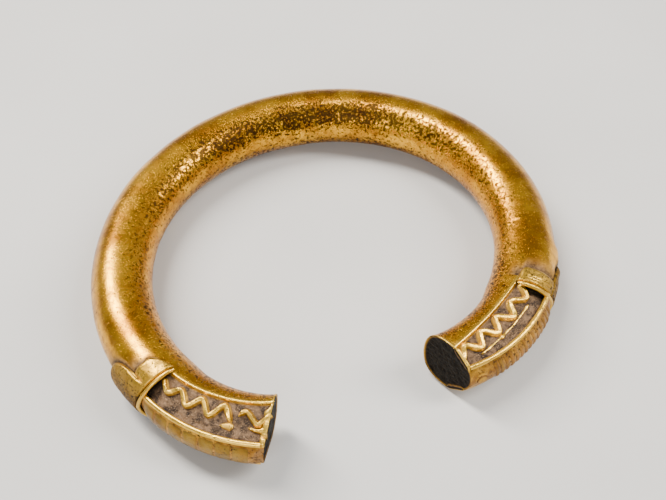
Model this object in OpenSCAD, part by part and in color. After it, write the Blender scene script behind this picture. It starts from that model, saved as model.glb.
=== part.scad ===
// Open bangle bracelet: a round cast rod bent to a wrist-sized C, with two ornamented ends.
// The bangle lies flat on its underside, with its opening towards -Y and the wrist axis along Z.
// Both sides are drawn as the +X side. The left side is then mirrored, with its own slightly
// different curve. A place on a side is given by the angle turned from the middle of the back,
// by u, the distance outwards from the rod's centreline, and by z, the height above it. On an
// end, s is the length past the start of the end, and t is that length as a share of the end.
// An angle round the rod, phi, is 0 straight outwards, 90 on top and 180 towards the wrist.

/* [Rod] */
// Radius of the round rod
rod_r = 5.1; // [4.4:0.1:6]
// Centreline radius at the back of the hoop
back_r = 35; // [33:0.5:38]
// Angle that the back arc turns on each side
back_turn = 43.5; // [35:0.5:50]
// Centreline radius of the left side
left_side_r = 35; // [32:0.5:38]
// Centreline radius of the right side
right_side_r = 31.5; // [30:0.5:36]
// Angle that each side arc turns, up to the start of the end
side_turn = 76; // [70:0.5:80]

/* [Ends] */
// Centreline radius of the left end
left_tip_r = 31.5; // [28:0.5:36]
// Angle that the left end turns
left_tip_turn = 38.5; // [34:0.5:42]
// Centreline radius of the right end
right_tip_r = 28.5; // [25:0.5:34]
// Angle that the right end turns
right_tip_turn = 42; // [36:0.5:46]
// Skew of the right end's face, its wrist side longer
right_face_skew = 14; // [0:1:18]
// Tilt of the right end's face, its underside longer
right_face_tilt = 5; // [0:1:18]
// Tilt of the left end's face, its top longer
left_face_tilt = 6; // [0:1:18]
// Length of round rod at the start of an end, before its panels begin
panel_start = 2.5; // [2:0.1:3]
// Height of the panel's outer edge above the centreline
rim_z = 2.7; // [2.2:0.1:3.2]
// How far the side facet swells past the panel's outer edge
facet_swell = 0.9; // [0.3:0.1:1.1]
// Depth of the panel's floor below its edges
panel_depth = 0.5; // [0.3:0.05:0.8]
// How much the wrist side narrows in the middle of an end
waist = 0.45; // [0:0.05:0.7]
// How far the corner over the wrist side flares out at the end face
corner_flare = 0.6; // [0:0.1:0.9]

/* [Collars] */
// Thickness of a collar over the rod
collar_t = 0.75; // [0.5:0.05:1]
// How much thicker a collar is on its outer side, as a share
outer_bulge = 0.3; // [0:0.05:0.4]
// Length from the start of an end to its collar's front, on the outer side
collar_front = 1.9; // [1.5:0.1:2.2]
// How much further forward the collar's front reaches at the top
collar_bow = 1.9; // [0:0.1:2.2]
// How far the outer petal reaches back past the start of the end
petal_len = 4.5; // [2:0.1:5]
// Half of the left outer petal's width, as an angle round the rod
left_petal_half = 50; // [35:1:60]
// Half of the right outer petal's width, as an angle round the rod
right_petal_half = 22; // [18:1:60]
// Angle round the rod to which the left collar wraps, each way
left_wrap = 102; // [85:1:110]
// Angle round the rod to which the right collar wraps, each way
right_wrap = 92; // [85:1:110]
// Radius of the bead along the front of a collar
bead_r = 0.42; // [0.3:0.02:0.5]

/* [Threads] */
// Width of the wavy threads
wave_w = 0.8; // [0.6:0.05:1]
// Height of the wavy threads
wave_h = 0.8; // [0.6:0.05:1]
// Length of one wave
wave_pitch = 3.65; // [3:0.05:5]
// Half of a wave's side-to-side travel
wave_amp = 0.9; // [0.5:0.05:1]
// Width of the ridge along a panel's outer edge
rim_w = 0.95; // [0.7:0.05:1.2]
// Width of the thin thread along the middle of the right panel
line_w = 0.35; // [0.25:0.05:0.5]
// Length of the prong beside the left lip
prong_len = 2.2; // [1.5:0.1:3]
// Width of the lip round an end face
lip_w = 0.75; // [0.5:0.05:0.9]

/* [Side facet] */
// Spacing of the pads on the left facet
pad_pitch = 2.3; // [1.8:0.1:3]
// Gap between the pads
pad_gap = 0.3; // [0.2:0.05:0.5]
// Spacing of the slanted bars on the right facet
bar_pitch = 0.95; // [0.8:0.05:1.4]
// Width of the slanted bars
bar_w = 0.6; // [0.4:0.05:0.7]
// Radius of the round boss near the right end
boss_r = 0.8; // [0.5:0.05:1]

/* [Hidden] */

// Place of the middle of the back, on the centreline, that centres the bangle's box on the origin
back_x = 0.55;
back_y = 32.85;

// One side: side radius, end radius, end turn, face skew, face tilt, half width of the outer
// petal, wrap of the collar, share of a wave taken by its outward stroke, then the start, middle
// and end u of the panel's inner edge, of its outer edge, and of the middle of its wavy thread
LEFT = [left_side_r, left_tip_r, left_tip_turn, 0, -left_face_tilt, left_petal_half, left_wrap,
        0.55, [-0.35, -0.55, -2.1], [4.6, 4.95, 4.15], [1.2, 1.2, -0.1]];
RIGHT = [right_side_r, right_tip_r, right_tip_turn, right_face_skew, right_face_tilt,
         right_petal_half, right_wrap,
         0.35, [0.5, -0.75, 0.25], [5.1, 4.9, 3.4], [1.7, 0.95, 1]];

function side_r(sd) = sd[0];
function tip_r(sd) = sd[1];
function tip_turn(sd) = sd[2];
function face_skew(sd) = sd[3];
function face_tilt(sd) = sd[4];
function petal_half(sd) = sd[5];
function wrap(sd) = sd[6];
function wave_lean(sd) = sd[7];

// The rod meets a terminal here, hidden by the collar
front_turn = back_turn + side_turn;
// A bell curve, 1 at x = 0
function bell(x, spread) = exp(-pow(x / spread, 2));
// The height of a collar over the rod is greatest on the outer side
outer_spread = 40;
function collar_height(phi) = collar_t * (1 + outer_bulge * bell(phi, outer_spread));
// Height of the centreline: the beads on the collars reach lowest, down to z = 0
mid_z = rod_r + collar_height(90) / 2 + bead_r;
// How deep a thread sits in the surface under it
bed = 0.15;

function end_turn(sd) = front_turn + tip_turn(sd);
function tip_len(sd) = tip_r(sd) * tip_turn(sd) * PI / 180;
function share(sd, s) = s / tip_len(sd);
// A smooth value that has the three given values at t = 0, 0.5 and 1
function ease3(v, t) = v[0] * (1 - t) * (1 - 2 * t) + v[1] * 4 * t * (1 - t) + v[2] * t * (2 * t - 1);
function smooth(x) = let (c = min(1, max(0, x))) c * c * (3 - 2 * c);

// ---- The rod's curve ----

function out_dir(a) = [sin(a), cos(a), 0];
function along_dir(a) = [cos(a), -sin(a), 0];
function back_centre() = [0, back_y - back_r, mid_z];
function side_centre(sd) = back_centre() + (back_r - side_r(sd)) * out_dir(back_turn);
function tip_centre(sd) = side_centre(sd) + (side_r(sd) - tip_r(sd)) * out_dir(front_turn);
function on_side_arc(a) = a < front_turn;
function arc_centre(sd, a) = on_side_arc(a) ? side_centre(sd) : tip_centre(sd);
function arc_r(sd, a) = on_side_arc(a) ? side_r(sd) : tip_r(sd);
function place(sd, a, u, z) = arc_centre(sd, a) + (arc_r(sd, a) + u) * out_dir(a) + [0, 0, z];
// The angle turned at length s past the start of the end
function turn_of(sd, s) = front_turn + s / (s < 0 ? side_r(sd) : tip_r(sd)) * 180 / PI;
// A place on the rod's side or end, at length s, radius r and angle phi round the rod
function rod_place(sd, s, r, phi) = place(sd, turn_of(sd, s), r * cos(phi), r * sin(phi));

// ---- The terminal's section ----

function turn_at(sd, t) = front_turn + t * tip_turn(sd);
function inner_u(sd, t) = ease3(sd[8], t);
function outer_u(sd, t) = ease3(sd[9], t);
function wave_u(sd, t) = ease3(sd[10], t);
// The place at t, slid along the bangle so that the end face comes out skewed and tilted
function tip_place(sd, t, u, z) = place(sd, turn_at(sd, t), u, z)
    - along_dir(turn_at(sd, t)) * (u * tan(face_skew(sd)) + z * tan(face_tilt(sd))) * pow(t, 3);

// The smooth back of the section narrows at the waist, then swells into a corner at the face
corner_angle = 130;
corner_spread = 28;
waist_spread = 55;
// The share of an end after which its waist begins
waist_start = 0.12;
function waist_at(t) = waist * smooth((t - waist_start) / 0.25) * sin(180 * t);
function back_radius(t, phi) = rod_r - waist_at(t) * bell(phi - 180, waist_spread)
    + corner_flare * pow(t, 5) * bell(phi - corner_angle, corner_spread);
function edge_angle(sd, t) = acos(inner_u(sd, t) / rod_r);
function edge_z(sd, t) = back_radius(t, edge_angle(sd, t)) * sin(edge_angle(sd, t));
// The floor of the panel slopes down from its inner edge to its outer edge
floor_run_in = 0.2;
floor_run_out = 0.45;
function floor_z(sd, t, u) =
    let (lo = inner_u(sd, t), hi = outer_u(sd, t), f = (u - lo) / (hi - lo))
    (1 - f) * edge_z(sd, t) + f * rim_z - panel_depth;
// The facet swells to its full width over this length from the start of the end
swell_len = 5.5;
function swell(sd, t) = facet_swell * smooth(t * tip_len(sd) / swell_len);

arc_steps = 9;
function upper_half(sd, t) =
    let (edge = edge_angle(sd, t), lo = inner_u(sd, t), hi = outer_u(sd, t), bulge = swell(sd, t))
    concat(
        [for (i = [0 : arc_steps]) let (phi = 180 - (180 - edge) * i / arc_steps)
            back_radius(t, phi) * [cos(phi), sin(phi)]],
        [[lo + floor_run_in, floor_z(sd, t, lo + floor_run_in)],
         [hi - floor_run_out, floor_z(sd, t, hi - floor_run_out)],
         [hi, rim_z - bed],
         [hi + 0.7 * bulge, rim_z * 0.55],
         [hi + bulge, 0]]);
function mirrored(half) =
    concat(half, [for (i = [len(half) - 2 : -1 : 1]) [half[i][0], -half[i][1]]]);
function terminal_section(sd, t) = mirrored(upper_half(sd, t));
section_count = 2 * (arc_steps + 6) - 2;
// The plain rod, with as many points as the terminal's section
function rod_section() = [for (i = [0 : section_count - 1])
    let (phi = 180 - 360 * i / section_count) rod_r * [cos(phi), sin(phi)]];

// ---- Swept solids ----

// Skins a list of closed rings of equal length, with a flat cap on each end
module skin(rings) {
    n = len(rings[0]);
    last = len(rings) - 1;
    walls = [for (i = [0 : last - 1], j = [0 : n - 1], k = [0, 1])
        let (a = i * n + j, b = i * n + (j + 1) % n)
        k == 0 ? [a, b, b + n] : [a, b + n, a + n]];
    caps = [[for (j = [n - 1 : -1 : 0]) j], [for (j = [0 : n - 1]) last * n + j]];
    polyhedron([for (ring = rings) each ring], concat(walls, caps), convexity = 6);
}

function unit(v) = v / norm(v);
function heading(path, i) = unit(path[min(i + 1, len(path) - 1)] - path[max(i - 1, 0)]);
// A thread is this much slimmer at its two ends
thread_taper = 0.55;

// A thread of oval section along a path; up is the direction of its height at every point
module thread(path, width, height, up = [0, 0, 1], sides = 8) {
    last = len(path) - 1;
    skin([for (i = [0 : last])
        let (along = heading(path, i), across = unit(cross(along, up)), rise = cross(across, along),
             size = (i == 0 || i == last) ? thread_taper : 1)
        [for (j = [0 : sides - 1]) let (phi = -360 * j / sides)
            path[i] + size / 2 * (width * sin(phi) * across + height * cos(phi) * rise)]]);
}

// Moves the children, drawn with the middle of the back at x = 0, to the right or left side
module on_side(sd) {
    translate([back_x, 0, 0]) {
        if (sd == LEFT || sd == turned(LEFT)) mirror([1, 0, 0]) children();
        else children();
    }
}

// A side with its face's tilt reversed, for ornament that is then turned over onto the underside
function turned(sd) = [for (i = [0 : len(sd) - 1]) i == 4 ? -sd[i] : sd[i]];
// Turns the children over onto the underside
module underside() {
    translate([0, 0, 2 * mid_z]) mirror([0, 0, 1]) children();
}

module rod_arc(centre, r, from_turn, to_turn) {
    translate(centre)
        rotate_extrude(angle = to_turn - from_turn, start = 90 - to_turn, $fn = 96)
            translate([r, 0]) circle(r = rod_r, $fn = 48);
}

module side_rod(sd) {
    rod_arc(side_centre(sd), side_r(sd), back_turn, front_turn);
}

// ---- Sub-parts ----

module hoop() {
    color("darkgoldenrod") union() {
        on_side(RIGHT) {
            rod_arc(back_centre(), back_r, -back_turn, back_turn);
            side_rod(RIGHT);
        }
        on_side(LEFT) side_rod(LEFT);
    }
}

// The bent block that carries the panels, with a round stub that meets the rod inside the collar
module terminal(sd) {
    rings = 18;
    shoulder = 0.01;
    first = share(sd, panel_start);
    stub = [for (s = [0, panel_start - shoulder])
        [for (q = rod_section()) place(sd, turn_of(sd, s), q[0], q[1])]];
    block = [for (i = [0 : rings]) let (t = first + (1 - first) * i / rings)
        [for (q = terminal_section(sd, t)) tip_place(sd, t, q[0], q[1])]];
    on_side(sd) skin(concat(stub, block));
}

// The front of a collar bows forward over the top and the underside
function front_s(phi) = collar_front + collar_bow * abs(phi) / 90;
// A collar covers the joint by this much behind its plain band
joint_cover = 0.2;
// The last part of a collar's wrap, over which its back edge rounds off to meet its front
round_off = 27;
function back_s(sd, phi) =
    let (x = min(1, abs(phi) / petal_half(sd)),
         end = max(0, (abs(phi) - wrap(sd) + round_off) / round_off),
         back = -joint_cover - (petal_len - joint_cover) * pow(1 - pow(x, 4), 0.6))
    back + 0.85 * (front_s(phi) - back) * pow(end, 4);
edge_spread = 12;

// An open sleeve: a bowed front and rounded petals behind, thinner towards every edge
module collar(sd) {
    steps = 60;
    on_side(sd) skin([for (i = [0 : steps])
        let (phi = wrap(sd) - 2 * wrap(sd) * i / steps,
             t = collar_height(phi) * (0.55 + 0.45 * smooth((wrap(sd) - abs(phi)) / edge_spread)),
             front = front_s(phi), len = front - back_s(sd, phi))
        [for (q = [[0, 0], [0, t], [0.35 * len, t], [0.75 * len, 0.9 * t], [0.96 * len, 0.5 * t], [len, 0]])
            rod_place(sd, front - q[0], rod_r + q[1], phi)]]);
}

// A round bead that caps the front edge of a collar and overhangs the panel
module collar_bead(sd) {
    steps = 32;
    reach = wrap(sd) - 6;
    path = [for (i = [0 : steps]) let (phi = -reach + 2 * reach * i / steps)
        rod_place(sd, front_s(phi) + bead_r - bed / 2, rod_r + collar_height(phi) / 2, phi)];
    on_side(sd) thread(path, 2 * bead_r, 2 * bead_r, along_dir(front_turn));
}

// A rounded ridge along the panel's outer edge, from the collar's bead to the end lip
module rim(sd) {
    steps = 24;
    inset = 0.25;
    first = share(sd, panel_start + 2 * bead_r);
    last = 1 - share(sd, lip_w);
    on_side(sd) thread([for (i = [0 : steps]) let (t = first + (last - first) * i / steps)
        tip_place(sd, t, outer_u(sd, t) - inset, rim_z + 0.1)], rim_w, 0.9 * rim_w);
}

// How far a wavy thread is through its in-and-out travel, from 0 to 1, at a share x of a wave
function stroke(x, lean) = x < lean ? x / lean / 2 : 0.5 + (x - lean) / (1 - lean) / 2;

// A wavy thread on the panel's floor from length s0 to s1. It starts at the given share of a
// wave, where 0 is the bend nearest the wrist.
module wave(sd, s0, s1, start = 0) {
    steps = ceil((s1 - s0) / wave_pitch * 12);
    on_side(sd) thread([for (i = [0 : steps])
        let (s = s0 + (s1 - s0) * i / steps, t = share(sd, s),
             x = start + (s - s0) / wave_pitch,
             u = wave_u(sd, t) - wave_amp * cos(360 * stroke(x - floor(x), wave_lean(sd))))
        tip_place(sd, t, u, floor_z(sd, t, u) + wave_h / 2 - bed)], wave_w, wave_h);
}

module midline() {
    steps = 16;
    beside_wave = 1.65;
    from_s = 5.7;
    to_s = 17.2;
    on_side(RIGHT) thread([for (i = [0 : steps])
        let (t = share(RIGHT, from_s + (to_s - from_s) * i / steps), u = wave_u(RIGHT, t) + beside_wave)
        tip_place(RIGHT, t, u, floor_z(RIGHT, t, u) + line_w / 2 - bed / 2)], line_w, line_w, sides = 6);
}

// A short tapered prong that points back from the left end's lip between wave and rim
module prong() {
    steps = 5;
    sides = 8;
    middle_u = 1.75;
    on_side(LEFT) skin([for (i = [0 : steps])
        let (t = 1 - share(LEFT, lip_w / 2 + prong_len * i / steps),
             w = wave_w * (1.1 - 0.85 * i / steps),
             z = floor_z(LEFT, t, middle_u) + wave_h / 2 - bed)
        [for (j = [0 : sides - 1]) let (phi = 360 * j / sides)
            tip_place(LEFT, t, middle_u + w / 2 * cos(phi), z + w / 2 * sin(phi))]]);
}

// A lip that follows the end face's edge over the top, down the outer side and back underneath
module end_lip(sd) {
    t = 1 - share(sd, lip_w / 2);
    corner = back_radius(1, corner_angle);
    hi = outer_u(sd, 1);
    arch = [-0.4, (edge_z(sd, 1) + corner * sin(corner_angle) + rim_z) / 3 + 0.45];
    upper = [[corner * cos(corner_angle), corner * sin(corner_angle)], arch,
             [hi - 0.2, rim_z + 0.1], [hi + 0.6 * swell(sd, 1), rim_z * 0.55], [hi + swell(sd, 1), 0]];
    loop = concat(upper, [for (i = [3 : -1 : 0]) [upper[i][0], -upper[i][1]]]);
    on_side(sd)
        thread([for (q = loop) tip_place(sd, t, q[0], q[1])], lip_w, lip_w, along_dir(end_turn(sd)));
}

// A strip up the side facet at length s; lean slides its top along the bangle. Each row gives a
// height as a share of the rim's height, and the share of the facet's swell there.
strip_rows = [[-0.85, 0.48], [-0.5, 0.74], [0, 1], [0.5, 0.74], [0.85, 0.48]];
module facet_strip(sd, s, width, height, lean = 0) {
    on_side(sd) thread([for (row = strip_rows)
        let (t = share(sd, s + lean * row[0]))
        tip_place(sd, t, outer_u(sd, t) + swell(sd, t) * row[1], rim_z * row[0])],
        width, height, out_dir(turn_of(sd, s)));
}

module side_pads() {
    height = 0.5;
    start = panel_start + 2 * bead_r;
    count = floor((tip_len(LEFT) - start - lip_w) / pad_pitch);
    for (i = [0 : count - 1])
        facet_strip(LEFT, start + pad_pitch * (i + 0.5), pad_pitch - pad_gap, height);
}

module side_bars() {
    height = 0.55;
    lean = 0.5;
    start = panel_start + 2 * bead_r + bar_w;
    count = floor((tip_len(RIGHT) - start - lip_w - 2.6 * boss_r) / bar_pitch);
    for (i = [0 : count - 1])
        facet_strip(RIGHT, start + bar_pitch * i, bar_w, height, lean);
}

module boss() {
    t = 1 - share(RIGHT, lip_w + 1.4 * boss_r);
    on_side(RIGHT)
        translate(tip_place(RIGHT, t, outer_u(RIGHT, t) + swell(RIGHT, t) - 0.45 * boss_r, 0))
            sphere(r = boss_r, $fn = 32);
}

module left_terminal() { color("peru") terminal(LEFT); }
module right_terminal() { color("peru") terminal(RIGHT); }
module left_collar() { color("khaki") collar(LEFT); }
module right_collar() { color("khaki") collar(RIGHT); }
module left_collar_bead() { color("goldenrod") collar_bead(LEFT); }
module right_collar_bead() { color("goldenrod") collar_bead(RIGHT); }
module left_rim_top() { color("gold") rim(LEFT); }
module right_rim_top() { color("gold") rim(RIGHT); }
module left_rim_bottom() { color("gold") underside() rim(turned(LEFT)); }
module right_rim_bottom() { color("gold") underside() rim(turned(RIGHT)); }
module left_wave_long() { color("khaki") wave(LEFT, 3.4, 16); }
module left_wave_short() { color("khaki") wave(LEFT, 16.8, 20.8, 0.75); }
module left_wave_bottom() { color("khaki") underside() wave(turned(LEFT), 3.4, 20.2); }
module left_prong() { color("khaki") prong(); }
module right_wave_top() { color("khaki") wave(RIGHT, 3.6, 20.1); }
module right_wave_bottom() { color("khaki") underside() wave(turned(RIGHT), 3.6, 20.1); }
module right_midline() { color("lightyellow") midline(); }
module left_end_lip() { color("gold") end_lip(LEFT); }
module right_end_lip() { color("gold") end_lip(RIGHT); }
module left_side_pads() { color("sienna") side_pads(); }
module right_side_bars() { color("sienna") side_bars(); }
module right_boss() { color("goldenrod") boss(); }

hoop();
left_terminal();
right_terminal();
left_collar();
right_collar();
left_collar_bead();
right_collar_bead();
left_rim_top();
left_rim_bottom();
right_rim_top();
right_rim_bottom();
left_wave_long();
left_wave_short();
left_wave_bottom();
left_prong();
right_wave_top();
right_wave_bottom();
right_midline();
left_end_lip();
right_end_lip();
left_side_pads();
right_side_bars();
right_boss();
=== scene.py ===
"""The looks of an open brass bangle: a worn, speckled round rod with two ornamented ends."""

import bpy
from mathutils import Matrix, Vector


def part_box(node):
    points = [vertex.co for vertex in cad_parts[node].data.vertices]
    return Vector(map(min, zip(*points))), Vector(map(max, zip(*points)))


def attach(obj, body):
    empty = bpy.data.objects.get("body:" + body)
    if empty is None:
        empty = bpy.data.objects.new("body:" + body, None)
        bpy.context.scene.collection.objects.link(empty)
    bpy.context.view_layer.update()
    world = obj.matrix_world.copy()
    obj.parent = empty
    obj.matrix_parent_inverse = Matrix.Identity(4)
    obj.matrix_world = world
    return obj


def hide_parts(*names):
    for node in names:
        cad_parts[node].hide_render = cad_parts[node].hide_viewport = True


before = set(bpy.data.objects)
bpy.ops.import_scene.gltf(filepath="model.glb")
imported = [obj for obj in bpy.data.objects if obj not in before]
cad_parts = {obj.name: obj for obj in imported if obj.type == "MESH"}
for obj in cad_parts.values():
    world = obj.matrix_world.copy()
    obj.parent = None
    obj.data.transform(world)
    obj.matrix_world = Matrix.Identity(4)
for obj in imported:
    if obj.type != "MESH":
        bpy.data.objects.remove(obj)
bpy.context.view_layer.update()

import copy
import itertools
import math

import bpy
import numpy as np
from mathutils import Matrix, Vector

MM = 0.001

# ---- The bangle's own sizes, in millimetres, degrees and shares ----

# The rod's thickness and height come from the CAD's box.
hoop_low, hoop_high = (np.array(corner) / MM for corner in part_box("hoop"))
ROD_R = (hoop_high[2] - hoop_low[2]) / 2
MID_Z = (hoop_high[2] + hoop_low[2]) / 2
# The centreline has one arc round the back, then one for each side and each end.
BACK_R = 35
BACK_TURN = 43.5
FRONT_TURN = BACK_TURN + 76
BACK_X = 0.55
BACK_Y = hoop_high[1] - ROD_R
# The ends: panels, the bulging outer facet, and the wrist side's waist and flared corner.
PANEL_START = 2.5
RIM_Z = 2.7
FACET_TOP = RIM_Z - 0.05
FACET_SWELL = 0.9
FACET_ROUND = 2.2
SWELL_LEN = 5.5
PANEL_DEPTH = 0.5
WAIST = 0.45
WAIST_START = 0.12
CORNER_FLARE = 0.6
CORNER_ANGLE = 130
# The collars: thickness, bowed front edge, wrap round the rod and petals behind.
COLLAR_T = 0.75
OUTER_BULGE = 0.3
BULGE_SPREAD = 40
COLLAR_WRAP = {"left": 102, "right": 92}
PETAL_LEN = {"left": 4.4, "right": 4.2}
PETAL_HALF = {"left": 50, "right": 22}
PETAL_CORNER = {"left": 27, "right": 8}
SHORT_PETAL = 63
COLLAR_FRONT = 1.9
COLLAR_BOW = 1.9
# What is laid on top, and how deep it is bedded.
BEAD_R = 0.42
BEAD_SHARE = {"left": 0.74, "right": 0.86}
WAVE_W = {"left": 0.864, "right": 0.976}
WAVE_H = 0.75
LIP_W = 0.75
BED = 0.15
STRIP_BED = 0.25


# ---- Noise and small helpers ----

def lattice(ix, iy, iz, seed):
    """A repeatable value from 0 to 1 for every point of a whole-number lattice."""
    n = (ix * 374761393 + iy * 668265263 + iz * 1442695041 + seed * 974634777) & 0xFFFFFFFF
    n = ((n ^ (n >> 13)) * 1274126177) & 0xFFFFFFFF
    return ((n ^ (n >> 16)) & 0xFFFF) / 65535.0


def noise(p, size, seed=0):
    """Smooth noise from -1 to 1 at points p, with features of the given size in mm."""
    q = np.asarray(p, float) / size + 500.0
    cell = np.floor(q).astype(np.int64)
    f = q - cell
    f = f * f * (3 - 2 * f)
    total = 0
    for corner in itertools.product((0, 1), repeat=3):
        weight = np.prod([f[..., k] if c else 1 - f[..., k] for k, c in enumerate(corner)], axis=0)
        total = total + weight * lattice(*(cell[..., k] + c for k, c in enumerate(corner)), seed)
    return 2 * total - 1


def layered(p, size, seed=0, layers=3):
    """Noise with finer and fainter layers added, from about -1 to 1."""
    return sum(noise(p, size / 2 ** k, seed + k) / 2 ** k for k in range(layers)) / 1.6


def smooth(x):
    x = np.clip(x, 0, 1)
    return x * x * (3 - 2 * x)


def unit(v):
    return v / np.maximum(np.linalg.norm(v, axis=-1, keepdims=True), 1e-12)


def ease3(v, t):
    """A smooth value that passes through v[0], v[1] and v[2] at t = 0, 0.5 and 1."""
    return v[0] * (1 - t) * (1 - 2 * t) + v[1] * 4 * t * (1 - t) + v[2] * t * (2 * t - 1)


# ---- The rod's curve ----

def out_dir(turn):
    a = np.radians(turn)
    return np.stack([np.sin(a), np.cos(a), 0 * a], -1)


def along_dir(turn):
    a = np.radians(turn)
    return np.stack([np.cos(a), -np.sin(a), 0 * a], -1)


def bell(x, spread):
    return np.exp(-(x / spread) ** 2)


def collar_height(phi):
    return COLLAR_T * (1 + OUTER_BULGE * bell(phi, BULGE_SPREAD))


def front_s(phi):
    """Where a collar's front is, bowed forward over the top and the underside."""
    return COLLAR_FRONT + COLLAR_BOW * np.abs(phi) / 90


class Side:
    """One half of the bangle. Places are given by the angle turned from the middle of the back,
    u outwards from the rod's centreline and z above it, and come back in mm in the CAD frame.
    On an end, s is the length past its start and t is that length as a share of the end."""

    def __init__(self, name, side_r, tip_r, tip_turn, skew, tilt, inner, outer, wave):
        self.name = name
        self.sign = -1 if name == "left" else 1
        self.side_r = side_r
        self.tip_r = tip_r
        self.tip_turn = tip_turn
        self.skew = math.tan(math.radians(skew))
        self.tilt = math.tan(math.radians(tilt))
        self.inner = inner
        self.outer = outer
        self.wave = wave
        self.length = math.radians(tip_turn) * tip_r
        self.back_centre = np.array([0, BACK_Y - BACK_R, 0])
        self.side_centre = self.back_centre + (BACK_R - side_r) * out_dir(BACK_TURN)
        self.tip_centre = self.side_centre + (side_r - tip_r) * out_dir(FRONT_TURN)

    def turned(self):
        """This side with its face's tilt reversed, for ornament that is then turned over."""
        other = copy.copy(self)
        other.tilt = -self.tilt
        return other

    def to_frame(self, p):
        return p * [self.sign, 1, 1] + [BACK_X, 0, MID_Z]

    def raw_place(self, turn, u, z):
        """A place in mm before this half is mirrored and moved into the frame."""
        turn, u, z = np.broadcast_arrays(np.asarray(turn, float), u, z)
        on_back = (turn < BACK_TURN)[..., None]
        on_side = (turn < FRONT_TURN)[..., None]
        centre = np.where(on_side, self.side_centre, self.tip_centre)
        centre = np.where(on_back, self.back_centre, centre)
        radius = np.where(on_back, BACK_R, np.where(on_side, self.side_r, self.tip_r))
        return centre + (radius + u[..., None]) * out_dir(turn) + z[..., None] * [0, 0, 1]

    def place(self, turn, u, z):
        return self.to_frame(self.raw_place(turn, u, z))

    def turn_of(self, s):
        """The angle turned at length s past the start of the end."""
        return FRONT_TURN + np.degrees(s / np.where(np.asarray(s) < 0, self.side_r, self.tip_r))

    def on_rod(self, s, r, phi):
        """A place at length s, at radius r and angle phi round the rod, where 90 is the top."""
        phi = np.radians(phi)
        return self.place(self.turn_of(s), r * np.cos(phi), r * np.sin(phi))

    def tip(self, t, u, z):
        """A place on the end, slid along it so that the end face comes out skewed and tilted."""
        turn = FRONT_TURN + 1e-6 + np.asarray(t, float) * self.tip_turn
        slide = -(np.asarray(u) * self.skew + np.asarray(z) * self.tilt) * np.asarray(t) ** 3
        return self.to_frame(self.raw_place(turn, u, z) + slide[..., None] * along_dir(turn))

    def direction(self, v):
        """A direction of this half, mirrored into the frame."""
        return v * [self.sign, 1, 1]

    def edge_angle(self, t):
        """Angle round the rod at which the round wrist side ends and the panel begins."""
        return np.degrees(np.arccos(ease3(self.inner, t) / ROD_R))

    def back_radius(self, t, phi):
        """Radius of the wrist side, with its slight waist and its flared corner at the face."""
        waist = WAIST * smooth((t - WAIST_START) / 0.25) * np.sin(math.pi * t)
        flare = CORNER_FLARE * t ** 5 * bell(phi - CORNER_ANGLE, 28)
        return ROD_R - waist * bell(phi - 180, 55) + flare

    def edge_z(self, t):
        edge = self.edge_angle(t)
        return self.back_radius(t, edge) * np.sin(np.radians(edge))

    def swell(self, t):
        """How far the outer facet bulges out at mid height."""
        return FACET_SWELL * smooth(t * self.length / SWELL_LEN)

    def floor_z(self, t, u):
        """Height of the panel's floor."""
        lo, hi = ease3(self.inner, t), ease3(self.outer, t)
        f = (u - lo) / (hi - lo)
        return (1 - f) * self.edge_z(t) + f * RIM_Z - PANEL_DEPTH

    def floor_normal(self, t):
        lo, hi = ease3(self.inner, t), ease3(self.outer, t)
        slope = (RIM_Z - self.edge_z(t)) / (hi - lo)
        turn = FRONT_TURN + np.asarray(t, float) * self.tip_turn
        return self.direction(unit(-slope[..., None] * out_dir(turn) + [0, 0, 1]))


LEFT = Side("left", 35, 31.5, 38.5, 0, -6, (-0.35, -0.55, -2.1), (4.6, 4.95, 4.15), (1.2, 1.2, -0.1))
RIGHT = Side("right", 31.5, 28.5, 42, 14, 5, (0.5, -0.75, 0.25), (5.1, 4.9, 3.4), (1.7, 0.95, 1))


# ---- Meshes ----

def grid_normals(rings):
    """Outward normals of a stack of closed rings."""
    along = np.gradient(rings, axis=0)
    around = np.roll(rings, -1, 1) - np.roll(rings, 1, 1)
    normals = unit(np.cross(along, around))
    away = rings - rings.mean(axis=1, keepdims=True)
    return normals * np.sign(np.sum(normals * away))


def skin_faces(rows, columns, first):
    """Faces over a stack of closed rings, with a fan to one extra point at each end."""
    i, j = np.meshgrid(np.arange(rows - 1), np.arange(columns), indexing="ij")
    a = first + i * columns + j
    b = first + i * columns + (j + 1) % columns
    faces = np.stack([a, b, b + columns, a + columns], -1).reshape(-1, 4).tolist()
    start, end = first + rows * columns, first + rows * columns + 1
    last = first + (rows - 1) * columns
    for k in range(columns):
        after = (k + 1) % columns
        faces.append([start, first + after, first + k])
        faces.append([end, last + k, last + after])
    return faces


def solid_volume(points, faces):
    """Signed volume: negative if the faces point inwards."""
    tris = np.array([[f[0], f[k], f[k + 1]] for f in faces for k in range(1, len(f) - 1)])
    a, b, c = (points[tris[:, k]] for k in range(3))
    return np.sum(a * np.cross(b, c)) / 6


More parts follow.
